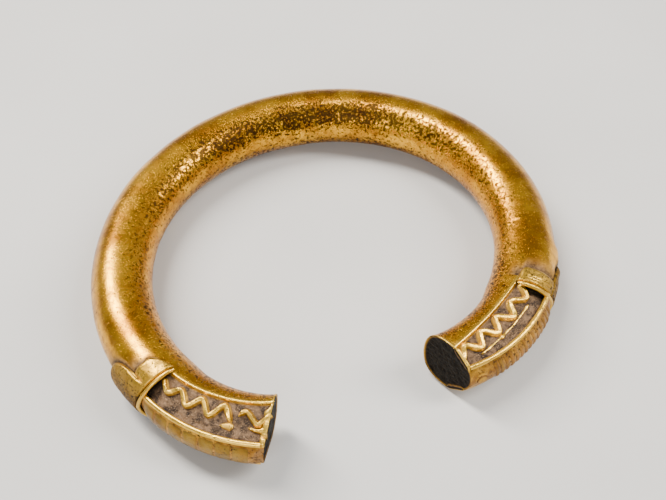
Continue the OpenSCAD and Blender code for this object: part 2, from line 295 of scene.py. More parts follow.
def make_piece(name, stacks, material, node, sharp=55):
    """Makes one piece from stacks of rings, each (rings, {attribute: values}), and rides it."""
    points, faces, values = [], [], {}
    for rings, attributes in stacks:
        first = sum(len(p) for p in points)
        rows, columns = rings.shape[:2]
        new_points = np.concatenate([rings.reshape(-1, 3), [rings[0].mean(0), rings[-1].mean(0)]])
        new_faces = skin_faces(rows, columns, 0)
        if solid_volume(new_points, new_faces) < 0:
            new_faces = [face[::-1] for face in new_faces]
        faces += [[first + k for k in face] for face in new_faces]
        points.append(new_points)
        for key, value in attributes.items():
            value = np.broadcast_to(value, (rows, columns))
            ends = [value[0].mean(), value[-1].mean()]
            values.setdefault(key, []).append(np.concatenate([value.ravel(), ends]))
    mesh = bpy.data.meshes.new(name)
    mesh.from_pydata((np.concatenate(points) * MM).tolist(), [], faces)
    for key, parts in values.items():
        layer = mesh.attributes.new(key, "FLOAT", "POINT")
        layer.data.foreach_set("value", np.concatenate(parts).astype(np.float32))
    mesh.shade_smooth()
    mesh.set_sharp_from_angle(angle=math.radians(sharp))
    mesh.materials.append(material)
    piece = bpy.data.objects.new(name, mesh)
    bpy.context.scene.collection.objects.link(piece)
    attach(piece, "root")
    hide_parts(node)
    return piece


def turned_over(stacks):
    """The same stacks of rings mirrored onto the underside."""
    return [(rings * [1, 1, -1] + [0, 0, 2 * MID_Z], attributes) for rings, attributes in stacks]


# ---- Surface unevenness ----

def forging(p):
    """The slow waves and soft dents of a hand-finished rod, in mm."""
    return 0.09 * noise(p, 11, 3) + 0.045 * noise(p, 4.5, 4) + 0.012 * noise(p, 1.6, 5)


def pitting(p, share):
    """Shallow pits that get more frequent as share goes from 0 to 1."""
    pits = noise(p, 0.95, 8) * 0.65 + noise(p, 0.5, 9) * 0.35
    return -0.07 * smooth((pits - 0.62 + 0.3 * share) / 0.25)


def soft_step(x, at, width):
    return smooth((x - at) / width + 0.5)


def rod_swell(side, turn, phi, p):
    """The lumpy swelling on the outer side of the rod behind the right collar, in mm."""
    if side is LEFT:
        return np.zeros_like(phi)
    s = np.radians(turn - FRONT_TURN) * side.side_r
    along = soft_step(s, -7.5, 4) * soft_step(-s, 0.5, 1.5)
    return 0.5 * along * bell(phi, 42) * (0.75 + 0.5 * noise(p, 1.8, 13))


# ---- Shader nodes ----

def tone(red, green, blue):
    """A display colour, 0 to 255, as the linear colour that shaders use."""
    return (*(((c / 255 + 0.055) / 1.055) ** 2.4 for c in (red, green, blue)), 1)


class Shader:
    """A Principled material with short names for the nodes used here. Sizes are in mm."""

    def __init__(self, name):
        self.material = bpy.data.materials.new(name)
        self.material.use_nodes = True
        self.nodes = self.material.node_tree.nodes
        self.links = self.material.node_tree.links
        self.surface = self.nodes["Principled BSDF"]
        self.position = self.nodes.new("ShaderNodeTexCoord").outputs["Object"]

    def feed(self, socket, value):
        if isinstance(value, bpy.types.NodeSocket):
            self.links.new(value, socket)
        else:
            socket.default_value = value

    def math(self, operation, a, b=0.0):
        node = self.nodes.new("ShaderNodeMath")
        node.operation = operation
        self.feed(node.inputs[0], a)
        self.feed(node.inputs[1], b)
        return node.outputs[0]

    def noise(self, size, detail=3.0, rough=0.5, squash=(1, 1, 1), seed=0.0):
        move = self.nodes.new("ShaderNodeMapping")
        self.links.new(self.position, move.inputs["Vector"])
        move.inputs["Location"].default_value = (seed, seed, seed)
        move.inputs["Scale"].default_value = tuple(s / (size * MM) for s in squash)
        node = self.nodes.new("ShaderNodeTexNoise")
        self.links.new(move.outputs[0], node.inputs["Vector"])
        node.inputs["Scale"].default_value = 1.0
        node.inputs["Detail"].default_value = detail
        node.inputs["Roughness"].default_value = rough
        return node.outputs["Fac"]

    def step(self, value, low, high):
        """Rises smoothly from 0 to 1 as value goes from low to high."""
        node = self.nodes.new("ShaderNodeMapRange")
        node.interpolation_type = "SMOOTHSTEP"
        self.feed(node.inputs["Value"], value)
        self.feed(node.inputs["From Min"], low)
        self.feed(node.inputs["From Max"], high)
        return node.outputs["Result"]

    def attribute(self, name):
        node = self.nodes.new("ShaderNodeAttribute")
        node.attribute_name = name
        return node.outputs["Fac"]

    def blend(self, amount, a, b, kind="RGBA"):
        node = self.nodes.new("ShaderNodeMix")
        node.data_type = kind
        sockets = {"RGBA": (6, 7, 2), "FLOAT": (2, 3, 0)}[kind]
        self.feed(node.inputs[0], amount)
        self.feed(node.inputs[sockets[0]], a)
        self.feed(node.inputs[sockets[1]], b)
        return node.outputs[sockets[2]]

    def bump(self, height, depth, under=None):
        node = self.nodes.new("ShaderNodeBump")
        node.inputs["Strength"].default_value = 1.0
        node.inputs["Distance"].default_value = depth * MM
        self.feed(node.inputs["Height"], height)
        if under:
            self.links.new(under, node.inputs["Normal"])
        return node.outputs["Normal"]


# ---- Materials ----

MARKS = ("speckle_and_shade", "dull", "wear_and_sheen", "black_and_shade", "amber")


def old_brass(name, light, dark, gloss):
    """Aged brass. The mesh's marks, in the order of MARKS, say where it is speckled, with more
    speckles as painted shade on the collars' outer sides; oxidised (dull); rubbed bright, with a
    painted sheen on the collars' tops;
    nearly black at the end faces and the collars' back edges, with painted shade at thread feet, under
    the collars' fronts, where they dip and on their outer sides; and warm orange (amber)."""
    s = Shader(name)
    speckle_and_shade, dull, wear_and_sheen, black_and_shade, amber = (s.attribute(key) for key in MARKS)
    cloud = s.noise(6, 5, 0.62)
    mottle = s.noise(1.3, 6, 0.68, seed=3)
    speckle = s.noise(0.5, 6, 0.74, seed=7)
    blots = s.noise(1.9, 6, 0.7, seed=29)
    grain = s.noise(0.13, 2, 0.6, seed=11)
    fine = s.noise(0.28, 4, 0.7, seed=17)

    colour = s.blend(s.step(cloud, 0.32, 0.68), dark, light)
    colour = s.blend(s.math("MULTIPLY", s.step(mottle, 0.42, 0.66), 0.5), colour, tone(122, 70, 8))
    warm = s.math("MULTIPLY", amber, s.blend(s.step(mottle, 0.3, 0.6), 0.35, 0.95, "FLOAT"))
    colour = s.blend(warm, colour, tone(224, 148, 16))
    # Rubbed bright brass; on the collars it is kept to their tops as a painted sheen.
    rubbed = s.math("MULTIPLY", wear_and_sheen, s.blend(s.step(fine, 0.3, 0.6), 0.6, 1.0, "FLOAT"))
    colour = s.blend(rubbed, colour, tone(248, 204, 84))
    stain = s.blend(s.step(mottle, 0.38, 0.62), tone(122, 95, 68), tone(42, 31, 23))
    stain = s.blend(s.step(grain, 0.56, 0.72), stain, tone(180, 146, 110))
    colour = s.blend(dull, colour, stain)
    # The first mark makes speckles denser; on the collars' outer sides this is painted shade.
    speckle_boost = s.math("MULTIPLY", speckle_and_shade, 0.2)
    small = s.step(s.math("ADD", speckle, speckle_boost), 0.655, 0.71)
    large = s.step(s.math("ADD", blots, s.math("MULTIPLY", speckle_boost, 0.6)), 0.72, 0.76)
    spots = s.math("MAXIMUM", small, large)
    colour = s.blend(s.math("MULTIPLY", spots, 0.92), colour, tone(30, 17, 9))
    # Near black for the end faces and the collars' back edges, and as painted shade at feet, in
    # crevices and on the collars' outer sides.
    black = s.blend(s.step(fine, 0.45, 0.7), tone(14, 11, 8), tone(58, 48, 34))
    colour = s.blend(black_and_shade, colour, black)
    s.feed(s.surface.inputs["Base Color"], colour)

    rough = s.blend(s.step(mottle, 0.35, 0.7), gloss, gloss + 0.12, "FLOAT")
    rough = s.blend(spots, rough, 0.42, "FLOAT")
    rough = s.blend(dull, rough, 0.6, "FLOAT")
    rough = s.blend(black_and_shade, rough, 0.7, "FLOAT")
    s.feed(s.surface.inputs["Roughness"], rough)
    metal = s.blend(dull, 0.95, 0.6, "FLOAT")
    metal = s.blend(black_and_shade, metal, 0.9, "FLOAT")
    s.feed(s.surface.inputs["Metallic"], metal)

    normal = s.bump(fine, 0.022)
    normal = s.bump(s.math("MULTIPLY", spots, -1.0), 0.03, normal)
    rugged = s.math("MULTIPLY", s.math("MAXIMUM", dull, black_and_shade), s.noise(0.4, 5, 0.75, seed=23))
    s.feed(s.surface.inputs["Normal"], s.bump(rugged, 0.16, normal))
    return s.material


def rod_brass():
    return old_brass("glossy_speckled_brass", tone(238, 176, 36), tone(166, 108, 14), 0.2)


def relief_brass():
    return old_brass("rubbed_relief_brass", tone(242, 190, 62), tone(188, 134, 34), 0.26)


def collar_brass():
    return old_brass("collar_brass", tone(218, 164, 34), tone(128, 92, 16), 0.26)


def olive_brass():
    return old_brass("olive_facet_brass", tone(116, 90, 16), tone(60, 45, 8), 0.3)


def copper_brass():
    return old_brass("coppery_facet_brass", tone(166, 106, 36), tone(84, 52, 18), 0.38)


def floor_material():
    s = Shader("pale_floor")
    shade = s.step(s.noise(60, 3, 0.5), 0.2, 0.8)
    s.feed(s.surface.inputs["Base Color"], s.blend(shade, tone(194, 192, 188), tone(202, 200, 196)))
    s.surface.inputs["Roughness"].default_value = 0.8
    return s.material


# ---- The rod ----

def rod_marks(side, turn, phi, p):
    """Where the plain rod is speckled, dull beside the collar and warm on the wrist side."""
    back = 1 - smooth(turn / 95)
    patches = 0.5 + 0.5 * layered(p, 7, 31)
    above = bell(phi - 135, 36)
    below = bell(phi + 135, 55)
    speckle_and_shade = 0.1 + 0.35 * patches + above * (0.55 + 0.4 * back) + 0.6 * below
    behind = -np.radians(turn - FRONT_TURN) * side.side_r
    edge = petal_back(side, phi)
    gap = behind + edge
    beside = bell(np.maximum(gap, 0) - 0.2, 1.5) * soft_step(108 - np.abs(phi), 0, 24)
    dull = 0.9 * beside * soft_step(patches + 0.25 * bell(gap, 0.8), 0.42, 0.3)
    amber = soft_step(np.abs(phi), 118, 50) * soft_step(turn, 62, 50) * (0.5 + 0.5 * patches)
    zero = np.zeros_like(speckle_and_shade)
    black_and_shade = 0.5 * bell(gap, 0.3) * beside
    return {"speckle_and_shade": speckle_and_shade, "dull": dull, "wear_and_sheen": zero, "black_and_shade": black_and_shade, "amber": amber}


def hoop(material):
    """The round rod from one collar to the other, with slow dents and pits."""
    half, around = 260, 120
    turns = np.linspace(0, FRONT_TURN + 0.5, half)
    angles = np.linspace(180, -180, around, endpoint=False)
    rings, marks = [], []
    for side, order in ((LEFT, slice(None, 0, -1)), (RIGHT, slice(None))):
        turn, phi = np.meshgrid(turns[order], angles, indexing="ij")
        c, s = np.cos(np.radians(phi)), np.sin(np.radians(phi))
        p = side.place(turn, ROD_R * c, ROD_R * s)
        mark = rod_marks(side, turn, phi, p)
        r = ROD_R + forging(p) + pitting(p, mark["speckle_and_shade"]) + rod_swell(side, turn, phi, p)
        r = r - 0.05 * soft_step(turn, FRONT_TURN + 0.2, 0.3)
        rings.append(side.place(turn, r * c, r * s))
        marks.append(mark)
    marks = {key: np.concatenate([m[key] for m in marks]) for key in marks[0]}
    return make_piece("hoop_rod", [(np.concatenate(rings), marks)], material, "hoop")


# ---- The ends ----

PANEL_COUNTS = (84, 8, 60, 8, 42)
FACE_MARKS = {"speckle_and_shade": 0.2, "dull": 0, "wear_and_sheen": 0, "black_and_shade": 1, "amber": 0}


def upper_section(side, t):
    """The upper half of a terminal's section from the wrist side to the outer side, as u and z."""
    arc, wall_in, floor, wall_out, facet = PANEL_COUNTS
    edge, lo, hi = side.edge_angle(t), ease3(side.inner, t), ease3(side.outer, t)
    phi = np.linspace(180, edge, arc, endpoint=False)
    back = side.back_radius(t, phi)
    corners = np.array([
        [lo, side.edge_z(t)],
        [lo + 0.2, side.floor_z(t, lo + 0.2)],
        [hi - 0.45, side.floor_z(t, hi - 0.45)],
        [hi - 0.02, FACET_TOP]])
    parts = [np.stack([back * np.cos(np.radians(phi)), back * np.sin(np.radians(phi))], -1)]
    for count, a, b in zip((wall_in, floor, wall_out), corners[:-1], corners[1:]):
        parts.append(a + (b - a) * np.linspace(0, 1, count, endpoint=False)[:, None])
    rise = np.linspace(1, 0, facet)
    bulge = hi + side.swell(t) * (1 - rise ** FACET_ROUND)
    parts.append(np.stack([bulge, FACET_TOP * rise], -1))
    return np.concatenate(parts)


def terminal_section(side, t):
    """A terminal's whole section, as a closed ring of u and z."""
    upper = upper_section(side, t)
    lower = upper[-2:0:-1] * [1, -1]
    return np.concatenate([upper, lower])


def blur_ring(ring, times):
    for _ in range(times):
        ring = 0.5 * ring + 0.25 * (np.roll(ring, 1, 0) + np.roll(ring, -1, 0))
    return ring


def panel_share(side, t, u, z):
    """1 on a panel's floor, fading to 0 at its edges."""
    lo, hi = ease3(side.inner, t), ease3(side.outer, t)
    inside = soft_step(u, lo + 0.2, 0.3) * soft_step(hi - u, 0.25, 0.3)
    near = soft_step(np.abs(z), side.floor_z(t, u) - 0.3, 0.3)
    return inside * near


def broken_corner(side, t, u, z):
    """How far the left end's outer side is broken away just before its face, in mm."""
    if side is RIGHT:
        return np.zeros_like(u)
    before_face = (1 - t) * side.length
    reach = 1.0 + 0.5 * (1 - np.abs(z) / RIM_Z)
    depth = np.clip(1 - before_face / reach, 0, 1)
    return 0.5 * depth * soft_step(u, ease3(side.outer, t) - 0.1, 1.0) * soft_step(2.2 - z, 0, 1.2)


def round_stub(side, section):
    """The round start of a terminal inside the collar: its rings and marks."""
    phi = np.degrees(np.arctan2(section[:, 1], section[:, 0]))
    phi[0] = 180
    s = np.linspace(-0.1, PANEL_START - 0.01, 16)[:, None] + 0 * phi
    phi = phi + 0 * s
    rings = side.on_rod(s, ROD_R, phi)
    depth = forging(rings) + pitting(rings, 0.4) - 0.02 * soft_step(-s, 0, 0.1)
    rings = side.on_rod(s, ROD_R + depth, phi)
    return rings, rod_marks(side, side.turn_of(s), phi, rings)


def end_face(block):
    """The rough and slightly sunken end face: rings that shrink, and how black each one is."""
    rows = 24
    steps = np.arange(1, rows)
    middle = block[-1].mean(0)
    face_out = unit(middle - block[-6].mean(0))
    rings = middle + (block[-1] - middle) * (1 - steps[:, None, None] / rows)
    sunk = np.minimum(1, steps / 3)[:, None]
    rough = sunk * (0.16 * layered(rings, 1.5, 61) + 0.09 * noise(rings, 0.5, 67) - 0.2)
    return rings + rough[..., None] * face_out, np.minimum(1, steps / 1.5)[:, None]


def terminal(side, material):
    """A bent block with a sunken panel above and below, and a rough end face."""
    rows = 150
    share = np.linspace(PANEL_START / side.length, 1, rows)
    flat = np.stack([blur_ring(terminal_section(side, t), 2) for t in share])
    t = np.broadcast_to(share[:, None], flat.shape[:2])
    u, z = flat[..., 0], flat[..., 1]
    broken = broken_corner(side, t, u, z)
    p = side.tip(t, u - broken, z)
    s = t * side.length

    on_panel = panel_share(side, t, u, z)
    streaks = layered(np.stack([s / 3.5, u, z * 0.4], -1), 0.75, 41)
    lumps = layered(p, 0.6, 47)
    floor = on_panel * (0.15 * streaks + 0.13 * lumps - 0.2 * bell(s - 3, 1.0))
    dents = (1 - on_panel) * (forging(p) + pitting(p, 0.4))
    wrist = soft_step(-u, 0.5, 1.5)
    ragged = 0.12 * layered(p, 0.7, 49) * smooth(broken / 0.15)
    p = p + grid_normals(p) * (floor + wrist * dents + ragged)[..., None]

    stub, stub_marks = round_stub(side, flat[0])
    end, black = end_face(p)
    rings = np.concatenate([stub, p, end])
    marks = terminal_marks(side, stub_marks, t, u, z, p, on_panel, broken)
    for key, value in marks.items():
        marks[key] = np.concatenate([value, black * FACE_MARKS[key] + (1 - black) * value[-1]])
    name = side.name + "_terminal"
    return make_piece(name + "_block", [(rings, marks)], material, name, sharp=50)


def terminal_marks(side, stub, t, u, z, p, on_panel, broken):
    """Marks of the round stub and the block: smooth wrist side, dull panels, brown facet, and a
    painted shadow on each panel's floor just before its collar.
    """
    here = rod_marks(side, FRONT_TURN + t * side.tip_turn, np.degrees(np.arctan2(z, u)), p)
    lo = ease3(side.inner, t)
    smooth_side = 1 - on_panel
    near_edge = bell(u - lo + 0.12, 0.3) * soft_step(np.abs(z), 2.5, 1)
    near_face = bell((1 - t) * side.length, 0.45) * soft_step(3.4 - u, 0, 0.6)
    facet = soft_step(u, 3.6, 0.6) * smooth_side
    chipped = smooth(broken / 0.12)
    # Painted shadow: near black on the panel's floor where it runs in under the collar.
    collar_shadow = bell(t * side.length - 3.0, 0.8)
    marks = {
        "speckle_and_shade": (here["speckle_and_shade"] * (1 - 0.5 * near_edge) + 0.3 * facet) * smooth_side,
        "dull": np.maximum(on_panel, 0.3 * facet + 0.35 * chipped),
        "wear_and_sheen": np.clip(0.9 * near_edge + 0.6 * near_face, 0, 1) * smooth_side,
        "black_and_shade": on_panel * collar_shadow * 0.9,
        "amber": np.clip(here["amber"] * (1 - facet) + 0.7 * chipped, 0, 1) * smooth_side}
    return {key: np.concatenate([stub[key], value]) for key, value in marks.items()}


# ---- Threads, ridges and lips ----

def ridge_section(sharpness, half, reach):
    """A ridge of height 1 and width about 1 whose foot spreads into the surface under it."""
    x = np.sin(np.linspace(-math.pi / 2, math.pi / 2, 29)) * 0.3
    x = x + np.linspace(-1, 1, 29) * (reach - 0.3)
    y = 1 / (1 + (np.abs(x) / half) ** sharpness)
    base = np.stack([np.linspace(reach, -reach, 7), np.full(7, -0.35)], -1)
    return np.concatenate([np.stack([x, y], -1), base])


def round_section(count):
    angle = np.linspace(0, 2 * math.pi, count, endpoint=False)
    return np.stack([np.cos(angle), np.sin(angle)], -1)


def heading(path):
    return unit(np.gradient(path, axis=0))


def sweep(path, ups, section, width, height):
    """Rings of a section carried along a path. Inside a tight bend the ring narrows to fit."""
    along = heading(path)
    across = unit(np.cross(along, ups))
    rise = np.cross(across, along)
    step = np.linalg.norm(np.gradient(path, axis=0), axis=-1, keepdims=True)
    bend = np.sum(np.gradient(along, axis=0) / step * across, axis=-1)[:, None]
    offset = section[None, :, 0] * np.broadcast_to(width, len(path))[:, None]
    squeeze = np.maximum(offset * bend, 0)
    offset = offset / (1 + squeeze ** 4) ** 0.25
    lift = section[None, :, 1] * np.broadcast_to(height, len(path))[:, None]
    return path[:, None] + offset[..., None] * across[:, None] + lift[..., None] * rise[:, None]


def rubbed(rings, height_share, wear_and_sheen=1.0):
    """Marks of a raised thread: bright where rubbed on top, dull and speckled at its foot, with
    painted shade at the foot.
    """
    top = soft_step(np.broadcast_to(height_share, rings.shape[:2]), 0.35, 0.6)
    patches = 0.5 + 0.5 * layered(rings, 1.6, 71)
    foot = 1 - top
    return {
        "speckle_and_shade": 0.25 + 0.35 * patches * foot,
        "dull": 0.8 * foot * (0.6 + 0.4 * patches),
        "wear_and_sheen": wear_and_sheen * top * (0.5 + 0.5 * patches),
        # Painted shade at the thread's foot.
        "black_and_shade": 0.35 * foot ** 2,
        "amber": 0.3 * patches}


def end_taper(count, share, least=0.35):
    """Sizes that grow from a small share at each end of a path to 1 over the given share of it."""
    f = np.linspace(0, 1, count)
    return least + (1 - least) * smooth(np.minimum(f, 1 - f) / share)


def thread(side, s, u, width, height, section, sink=0.0, open_start=False, open_end=False):
    """A raised thread that lies on a panel's floor, through places at lengths s and offsets u."""
    t = s / side.length
    z = side.floor_z(t, u) - sink
    path = side.tip(t, u, z)
    ups = side.floor_normal(t)
    size = np.ones(len(s))
    rounding = end_taper(len(s), 0.35 / max(1, (s.max() - s.min()) / 1.2))
    middle = len(s) // 2
    if not open_start:
        size[:middle] = rounding[:middle]
    if not open_end:
        size[middle:] = rounding[middle:]
    uneven = 1 + 0.22 * noise(path, 1.1, 53)
    rings = sweep(path, ups, section, width * size * uneven, height * size * (2 - uneven))
    lumps = 0.05 * layered(rings, 0.6, 57)
    rings = rings + lumps[..., None] * ups[:, None]
    return rings, rubbed(rings, section[:, 1])


def wave_path(side, s0, s1, pitch, start, lean, kink, travel):
    """Lengths and offsets of a wavy thread. It starts at the given share of a wave, where 0 is
    the bend nearest the wrist. Lean is the share of a wave that its outward stroke takes, kink
    is how angular the bends are, and travel is how far they swing at the start and the end."""
    s = np.linspace(s0, s1, int((s1 - s0) / pitch * 48))
    x = (start + (s - s0) / pitch) % 1
    stroke = np.where(x < lean, x / lean * 0.5, 0.5 + (x - lean) / (1 - lean) * 0.5)
    c = np.cos(2 * math.pi * stroke)
    shape = np.arcsin(kink * c) / math.asin(kink)
    flat = np.stack([s, 0 * s, 0 * s], -1)
    grown = np.interp(s, (s0, s1), travel)
    swing = grown * (1 + 0.2 * noise(flat, 2.3, 55 + int(s0)))
    wobble = 0.1 * noise(flat, 3.1, 59 + int(s0))
    u = ease3(side.wave, s / side.length) - swing * shape + wobble
    return s, u


def waves(material, section):
    """The wavy threads, above and below, with the torn chip where the left one is broken."""
    right_shape = (3.3, 20.5, 3.85, -0.08, 0.4, 0.3, (0.7, 0.8))
    plan = [
        ("left_wave_long", LEFT, (3.7, 16.1, 3.55, 0, 0.52, 0.75, (0.5, 0.9)), False),
        ("left_wave_short", LEFT, (16.7, 21.1, 4.0, 0.76, 0.5, 0.8, (0.8, 0.8)), True),
        ("left_wave_bottom", LEFT.turned(), (3.7, 19.9, 3.55, 0, 0.52, 0.9, (0.5, 0.95)), True),
        ("right_wave_top", RIGHT, right_shape, True),
        ("right_wave_bottom", RIGHT.turned(), right_shape, True)]
    for node, side, shape, open_end in plan:
        s, u = wave_path(side, *shape)
        width = WAVE_W[side.name]
        stacks = [thread(side, s, u, width, WAVE_H, section, 0.05, open_end=open_end)]
        if node == "left_wave_long":
            stacks.append(chip(section))
        if node.endswith("bottom"):
            stacks = turned_over(stacks)
        make_piece(node + "_thread", stacks, material, node)


def chip(section):
    """The small torn triangle below the break in the left thread."""
    s = np.linspace(14.6, 16.5, 20)
    u = np.linspace(2.6, 2.2, 20)
    rings, marks = thread(LEFT, s, u, np.linspace(0.3, 1.5, 20), 0.4, section)
    return rings, {**marks, "amber": marks["amber"] + 0.5, "dull": marks["dull"] + 0.3}


def prong(material, section):
    """A tapered prong that points back from the left lip."""
    f = np.linspace(0, 1, 30)
    s = LEFT.length - 0.1 - 2.6 * f
    u = 1.75 + 0.2 * np.sin(3 * f)
    width = 1.3 * (1 - smooth(f / 0.4)) + 0.8 * (1 - 0.6 * f)
    stack = thread(LEFT, s, u, width, 0.72 * (1 - 0.4 * f), section, 0.03, open_start=True)
    make_piece("left_prong_spike", [stack], material, "left_prong")


def midline(material, section):
    """The thin bright thread along the right panel, with a blob near its middle."""
    s = np.linspace(5.6, 17.4, 90)
    flat = np.stack([s, s, s], -1)
    u = ease3(RIGHT.wave, s / RIGHT.length) + 1.65 + 0.08 * noise(flat, 1.7, 83)
    blob = bell(s - 12.9, 0.45)
    width = 0.28 * (1 + 0.4 * noise(flat, 1.1, 87)) + 0.4 * blob
    stack = thread(RIGHT, s, u, width, 0.2 + 0.16 * blob, section, 0.02)
    make_piece("right_midline_thread", [stack], material, "right_midline")


def rim_ridge(side):
    """The rounded bright ridge along a panel's outer edge."""
    s = np.linspace(PANEL_START, side.length - 0.5, 170)
    t = s / side.length
    path = side.tip(t, ease3(side.outer, t) - 0.33, np.full_like(t, RIM_Z - 0.02))
    out = side.direction(out_dir(FRONT_TURN + t * side.tip_turn))
    ups = unit(side.floor_normal(t) + 0.2 * out)
    section = round_section(24)
    uneven = 1 + 0.12 * noise(path, 1.5, 91) - 0.15 * smooth((noise(path, 0.7, 93) - 0.5) / 0.2)
    rings = sweep(path, ups, section, 0.42 * uneven, 0.36 * uneven)
    rings = rings + 0.03 * layered(rings, 0.7, 95)[..., None] * ups[:, None]
    return rings, rubbed(rings, 0.6 + 0.5 * section[:, 1])


def rims(material):
    """The outer rims of all four panels."""
    for side in (LEFT, RIGHT):
        top, bottom = [rim_ridge(side)], turned_over([rim_ridge(side.turned())])
        for place, stacks in (("top", top), ("bottom", bottom)):
            node = f"{side.name}_rim_{place}"
            make_piece(node + "_ridge", stacks, material, node)


def lip_loop(side, count):
    """Places round an end face's edge, from the wrist-side corner over the top to the middle of
    the outer side, as u and z on the block's surface, with a straight run over the panel."""
    upper = upper_section(side, 1.0)
    arc, wall_in, floor, wall_out, _ = PANEL_COUNTS
    corner = int(arc * 0.4)
    points = upper[corner:]
    first, last = arc - corner, arc - corner + wall_in + floor + wall_out
    over = np.linspace(points[first], points[last], last - first)
    points = np.concatenate([points[:first], over, points[last:]])
    run = np.concatenate([[0], np.cumsum(np.linalg.norm(np.diff(points, axis=0), axis=-1))])
    even = np.linspace(0, run[-1], count)
    return np.stack([np.interp(even, run, points[:, k]) for k in (0, 1)], -1)


def end_lips(material):
    """The bright lip of each end face, thick over the panels and worn thin everywhere else."""
    for side in (LEFT, RIGHT):
        half = lip_loop(side, 90)
        for _ in range(6):
            half[1:-1] = 0.5 * half[1:-1] + 0.25 * (half[:-2] + half[2:])
        loop = np.concatenate([half, half[-2::-1] * [1, -1]])
        u, z = loop[:, 0], loop[:, 1]
        lo, hi = side.inner[2], side.outer[2]
        on_top = soft_step(u, lo + 0.2, 0.6) * soft_step(hi - u, 0.2, 0.5)
        on_edge = soft_step(np.abs(z), 2.4, 1.6)
        thick = 0.02 + 0.05 * on_edge + 0.26 * on_top
        wide = 0.2 + 0.1 * on_edge + 0.45 * on_top
        if side is LEFT:
            upper = z > 0
            crack = bell(u - 2.75, 0.2) * upper
            narrow = 1 - 0.55 * bell(u + 1.6, 1.0) * upper
            joint = bell(u + 0.5, 0.6) * upper
            thick = thick * (1 - 0.95 * crack)
            wide = wide * narrow + 0.5 * joint
        make_lip(side, loop, thick, wide, material)


def make_lip(side, loop, thick, wide, material):
    """One lip: a rolled profile along a loop of places round the end face's edge."""
    around = np.gradient(loop, axis=0)
    outward = unit(np.stack([-around[:, 1], around[:, 0]], -1))
    if np.sum(outward * loop) < 0:
        outward = -outward
    profile = np.array([
        [0.02, -0.5], [0.02, 0.3], [0.05, 0.75], [0.13, 0.95], [0.28, 1.02], [0.5, 1.0], [0.72, 0.85],
        [0.9, 0.5], [1.0, 0.0], [1.02, -0.6], [1.0, -1.3], [0.6, -1.5], [0.1, -1.3]])
    uneven = 1 + 0.15 * noise(np.stack([loop[:, 0], loop[:, 1], 0 * loop[:, 0]], -1), 1.2, 97)
    back = profile[None, :, 0] * (wide * uneven)[:, None]
    lift = profile[None, :, 1] * (thick * uneven)[:, None] + np.minimum(0, thick - 0.07)[:, None]
    place = loop[:, None] + lift[..., None] * outward[:, None]
    t = 1 - back / side.length
    broken = broken_corner(side, t, place[..., 0], place[..., 1])
    rings = side.tip(t, place[..., 0] - broken, place[..., 1])
    rings = rings + 0.015 * layered(rings, 0.6, 99)[..., None] * [0, 0, 1]
    marks = rubbed(rings, np.clip(profile[:, 1], 0, 1))
    chipped = smooth(broken / 0.1)
    front = (profile[:, 0] <= 0.1) & (profile[:, 1] <= 0.3)
    marks["wear_and_sheen"] = marks["wear_and_sheen"] * (1 - chipped) * ~front
    marks["black_and_shade"] = np.maximum(marks["black_and_shade"], front)
    marks["dull"] = np.maximum(marks["dull"], 0.6 * chipped)
    node = side.name + "_end_lip"
    make_piece(node + "_edge", [(rings, marks)], material, node)


# ---- Collars ----

def petal_back(side, phi):
    """Where the back edge of a collar is, as a length past the start of the end. The left collar
    has a long outer petal and a short round one on top; the right one a lobe on the outside."""
    away, corner = np.abs(phi), PETAL_CORNER[side.name]
    x = np.minimum(1, away / PETAL_HALF[side.name])
    rounded = np.clip((away - (COLLAR_WRAP[side.name] - corner)) / corner, 0, 1)
    if side is LEFT:
        back = -0.1 - 0.15 * bell(away - SHORT_PETAL, 8) - PETAL_LEN["left"] * (1 - x ** 4) ** 0.6
        return back + 0.9 * (front_s(phi) - back) * rounded ** 3
    back = -0.15 + 0.75 * (away / 90) ** 2 - PETAL_LEN["right"] * (1 - x ** 3) ** 0.6
    return back + 0.4 * (front_s(phi) - back) * rounded ** 2


def collar_shell(side):
    """The sleeve as rings along its wrap: over it from its front edge to its back, then under it."""
    wrap = COLLAR_WRAP[side.name]
    phi = wrap * np.sin(np.linspace(math.pi / 2, -math.pi / 2, 300))[:, None]
    phi = 0.5 * phi + 0.5 * np.linspace(wrap, -wrap, 300)[:, None]
    f = np.concatenate([np.linspace(0, 1, 50), np.linspace(1, 0, 8)[1:-1]])[None, :]
    over = np.concatenate([np.ones(50), np.zeros(6)])[None, :] > 0
    front, back = front_s(phi), petal_back(side, phi)
    length = front - back
    ends = np.minimum(1, (wrap - np.abs(phi)) / 6)
    from_front = np.minimum(1, f * length / 0.3)
    from_back = np.minimum(1, (1 - f) * length / 0.8)
    rounded = [np.sqrt(np.clip(1 - (1 - x) ** 2, 0, 1)) for x in (ends, from_front, from_back)]
    shape = collar_height(phi) * rounded[0] * np.minimum(rounded[1], rounded[2])
    if side is RIGHT:
        lobe = soft_step(26 - np.abs(phi), 0, 8)
        from_tip = np.minimum(1, (1 - f) * length / 3.2)
        shape = shape * (1 - lobe * 0.55 * (1 - from_tip ** 0.8))
        shape = shape + lobe * 0.16 * bell((1 - f) * length - 1.2, 0.6) * rounded[2]
        groove = bell(f * length - 0.75, 0.12) + bell(f * length - 1.15, 0.12)
        shape = shape - 0.07 * groove * soft_step(70 - np.abs(phi), 0, 40)
    else:
        crease = bell(np.abs(phi) - 50, 3) * soft_step(f, 0.35, 0.5)
        shape = shape * (1 - 0.5 * crease)
    s = front - f * length
    base = side.on_rod(s, ROD_R, phi)
    dents = 0.08 * noise(base, 2.4, 101) + 0.05 * layered(base, 1.0, 103)
    r = np.where(over, ROD_R + shape + dents * np.minimum(1, shape / COLLAR_T), ROD_R - 0.12)
    rings = side.on_rod(s, r, phi)
    share = np.where(over, shape / collar_height(phi), 0)
    return rings, share, phi


